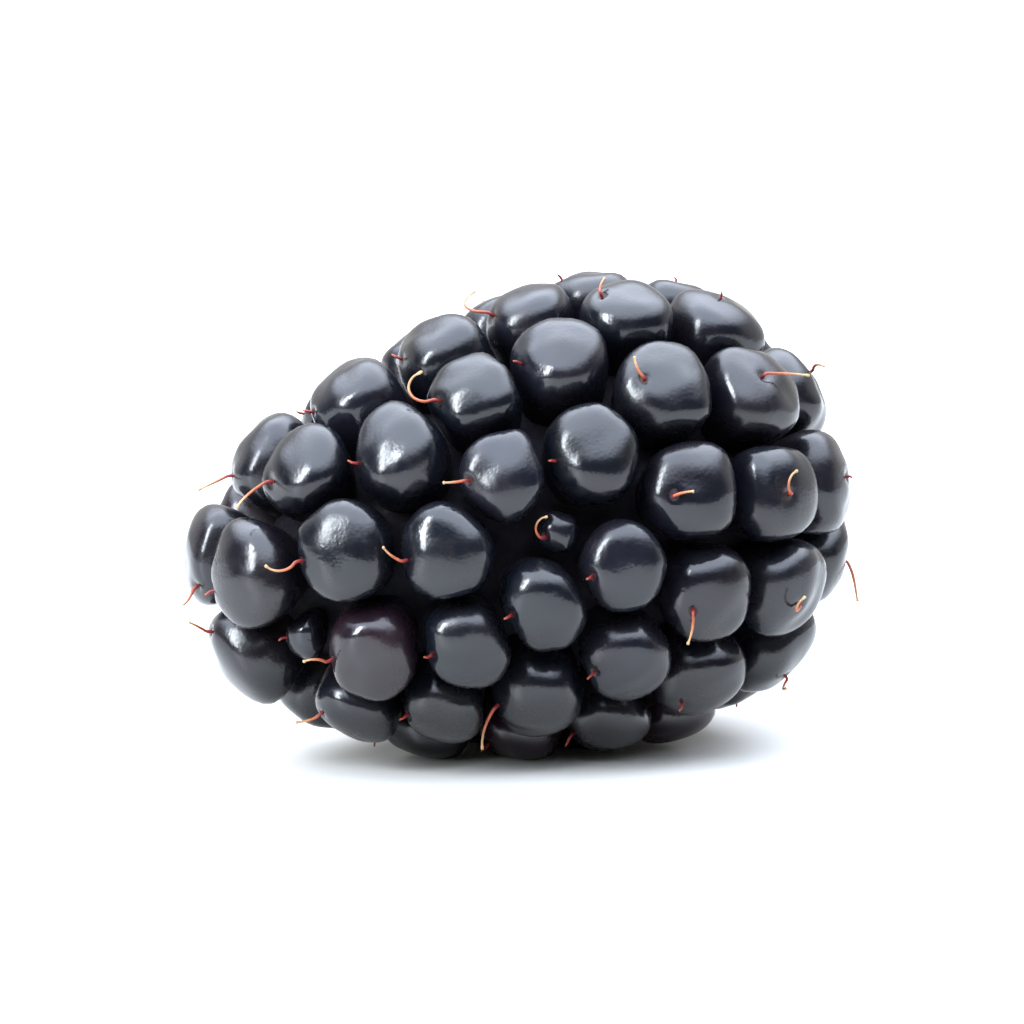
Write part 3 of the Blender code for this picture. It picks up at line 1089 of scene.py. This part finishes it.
def makeStyles(material):
    longPoints, longFaces, longShares = [], [], []
    stubPoints, stubFaces, stubShares = [], [], []
    count = 0
    for number, drupelet in enumerate(drupelets):
        grown = None
        if drupelet.style[0] >= dryStyles["shortest"]:
            for lift in dryStyles["lifts"]:
                path = stylePath(number, lift)
                if standsClear(path, number):
                    grown = path
                    break
        if grown:
            count += 1
            line = smoothLine(grown, dryStyles["finePoints"])
            widths = [styleWidth(k / (len(line) - 1)) for k in range(len(line))]
            addTube(line, widths, longPoints, longFaces, longShares)
        else:
            short = stylePath(number, dryStyles["stubLift"])[:dryStyles["stubLinePoints"]]
            if toWorld(np.array(short))[:, 2].min() < dryStyles["stubClearance"]:
                continue
            line = smoothLine(short, dryStyles["stubFinePoints"])
            thins = dryStyles["stubRootRadius"] - dryStyles["stubTipRadius"]
            widths = [dryStyles["stubRootRadius"] - thins * k / (len(line) - 1) for k in range(len(line))]
            addTube(line, widths, stubPoints, stubFaces, stubShares)
    made = []
    for name, points, faces, shares in (
        ("dried_styles", longPoints, longFaces, longShares),
        ("style_stubs", stubPoints, stubFaces, np.array(stubShares) * dryStyles["stubColouring"]),
    ):
        piece = addObject(name, meshFrom(name, toWorld(np.array(points)), faces))
        writeAttribute(piece.data, "alongStyle", shares)
        piece.data.materials.append(material)
        piece.data.shade_smooth()
        made.append(piece)
    return made[0], made[1], count


skin = makeSkin(makeBerrySkin(), makeGapFleshShade())
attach(skin, "root")
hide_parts("berry")
skin.data.calc_loop_triangles()
print(f"skin grown together, {len(skin.data.loop_triangles)} triangles")

core = makeStemCore(makeStemCoreMaterial())
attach(core, "root")

longStyles, stubs, longCount = makeStyles(makeDryStyle())
styleNodes = sorted(name for name in frame["nodes"] if name.startswith("dried_style"))
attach(longStyles, "root")
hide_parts(*styleNodes)
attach(stubs, "root")
print(f"{longCount} long styles for {len(styleNodes)} nodes")


# Studio
studio = {
    "backgroundLevel": 1.0,
    "softboxLevel": 6.2,
    "softboxTint": (0.86, 0.96, 1.15),
    "softboxInner": 0.82,  # height on the sky's unit ball where the softbox is full
    "softboxOuter": 0.42,
    "backdropLevel": 1.0,
    "backdropWay": (0.50, 0.87, 0.0),  # where the backdrop's light comes from
    "backdropEdge": -0.15,  # the share of its way where the backdrop's light begins
    "backdropFull": 0.45,
    "frontLevel": 0.10,
    "floorColour": (0.615, 0.60, 0.56),
    "floorRoughness": 0.45,
    "floorDrop": 0.02,  # keeps the sheet clear of the pressed drupelets
    "floorRadius": 420.0,
    "fadeStart": 150.0,
    "fadeEnd": 400.0,
    "windowWay": (-0.85, -0.22, 0.45),  # where it stands
    "windowDistance": 260.0,
    "windowSize": (52.0, 150.0),
    "windowWatts": 1.05,
    "windowTint": (0.86, 0.93, 1.0),
    "azimuth": -20.0,
    "elevation": 10.0,
    "lens": 220.0,
    "fill": 0.68,  # share of the frame's width that the fruit takes
}


def makeWorld():
    world = bpy.data.worlds.new("soft studio")
    bpy.context.scene.world = world
    world.use_nodes = True
    tree = world.node_tree
    background = tree.nodes["Background"]
    way = newNode(tree, "ShaderNodeTexCoord", (-1300, 0)).outputs["Generated"]
    split = newNode(tree, "ShaderNodeSeparateXYZ", (-1100, 0))
    link(tree, way, split.inputs[0])
    outer, inner, level = studio["softboxOuter"], studio["softboxInner"], studio["softboxLevel"]
    overhead = mapRange(tree, split.outputs["Z"], outer, inner, 0.0, level, (-850, 300), "SMOOTHSTEP")
    toBackdrop = newNode(tree, "ShaderNodeVectorMath", (-1100, -150), operation="DOT_PRODUCT")
    link(tree, way, toBackdrop.inputs[0])
    toBackdrop.inputs[1].default_value = studio["backdropWay"]
    edge, full = studio["backdropEdge"], studio["backdropFull"]
    front, back = studio["frontLevel"], studio["backdropLevel"]
    behind = mapRange(tree, toBackdrop.outputs["Value"], edge, full, front, back, (-850, 0), "SMOOTHSTEP")
    cool = newNode(tree, "ShaderNodeVectorMath", (-600, 300), operation="SCALE")
    cool.inputs[0].default_value = studio["softboxTint"]
    link(tree, overhead, cool.inputs["Scale"])
    lit = mixColours(tree, 1.0, cool.outputs[0], behind, (-350, 150), "ADD")
    path = newNode(tree, "ShaderNodeLightPath", (-600, -350))
    plain = (studio["backgroundLevel"],) * 3
    shown = mixColours(tree, path.outputs["Is Camera Ray"], lit, plain, (-100, 0))
    link(tree, shown, background.inputs["Color"])


def makeFloor():
    mesh = bpy.data.meshes.new("floor")
    shape = bmesh.new()
    bmesh.ops.create_circle(shape, cap_ends=True, segments=96, radius=studio["floorRadius"] * mm)
    shape.to_mesh(mesh)
    shape.free()
    floor = addObject("floor", mesh)
    floor.location.z = -studio["floorDrop"] * mm
    material, tree, surface = newMaterial("pale sheet")
    surface.inputs["Base Color"].default_value = (*studio["floorColour"], 1.0)
    surface.inputs["Roughness"].default_value = studio["floorRoughness"]
    spot = newNode(tree, "ShaderNodeTexCoord", (-900, 0)).outputs["Object"]
    away = newNode(tree, "ShaderNodeVectorMath", (-700, 0), operation="LENGTH")
    link(tree, spot, away.inputs[0])
    start, end = studio["fadeStart"] * mm, studio["fadeEnd"] * mm
    fade = mapRange(tree, away.outputs["Value"], start, end, 0.0, 1.0, (-500, 0), "SMOOTHSTEP")
    clear = newNode(tree, "ShaderNodeBsdfTransparent", (0, -300))
    blend = newNode(tree, "ShaderNodeMixShader", (300, 0))
    link(tree, fade, blend.inputs[0])
    link(tree, surface.outputs[0], blend.inputs[1])
    link(tree, clear.outputs[0], blend.inputs[2])
    link(tree, blend.outputs[0], tree.nodes["Material Output"].inputs["Surface"])
    mesh.materials.append(material)


def makeWindow(aim):
    light = bpy.data.lights.new("tall window", "AREA")
    light.shape = "RECTANGLE"
    light.size = studio["windowSize"][0] * mm
    light.size_y = studio["windowSize"][1] * mm
    light.energy = studio["windowWatts"]
    light.color = studio["windowTint"]
    lamp = addObject("tall window", light)
    way = Vector(studio["windowWay"]).normalized()
    lamp.location = aim + way * studio["windowDistance"] * mm
    lamp.rotation_euler = way.to_track_quat("Z", "Y").to_euler()


def makeCamera(aim, width):
    azimuth = math.radians(studio["azimuth"])
    elevation = math.radians(studio["elevation"])
    back = Vector((
        math.sin(azimuth) * math.cos(elevation),
        -math.cos(azimuth) * math.cos(elevation),
        math.sin(elevation),
    ))
    camera = addObject("camera", bpy.data.cameras.new("camera"))
    camera.data.lens = studio["lens"]
    distance = width / studio["fill"] * studio["lens"] / camera.data.sensor_width
    camera.location = aim + back * distance
    camera.rotation_euler = back.to_track_quat("Z", "Y").to_euler()
    camera.data.clip_start = 0.01 * distance
    camera.data.clip_end = 20.0 * distance
    bpy.context.scene.camera = camera


aim = (cadLow + cadHigh) / 2.0
makeWorld()
makeFloor()
makeWindow(aim)
makeCamera(aim, cadHigh.x - cadLow.x)
bpy.context.scene.view_settings.view_transform = "Standard"
print("studio is set")
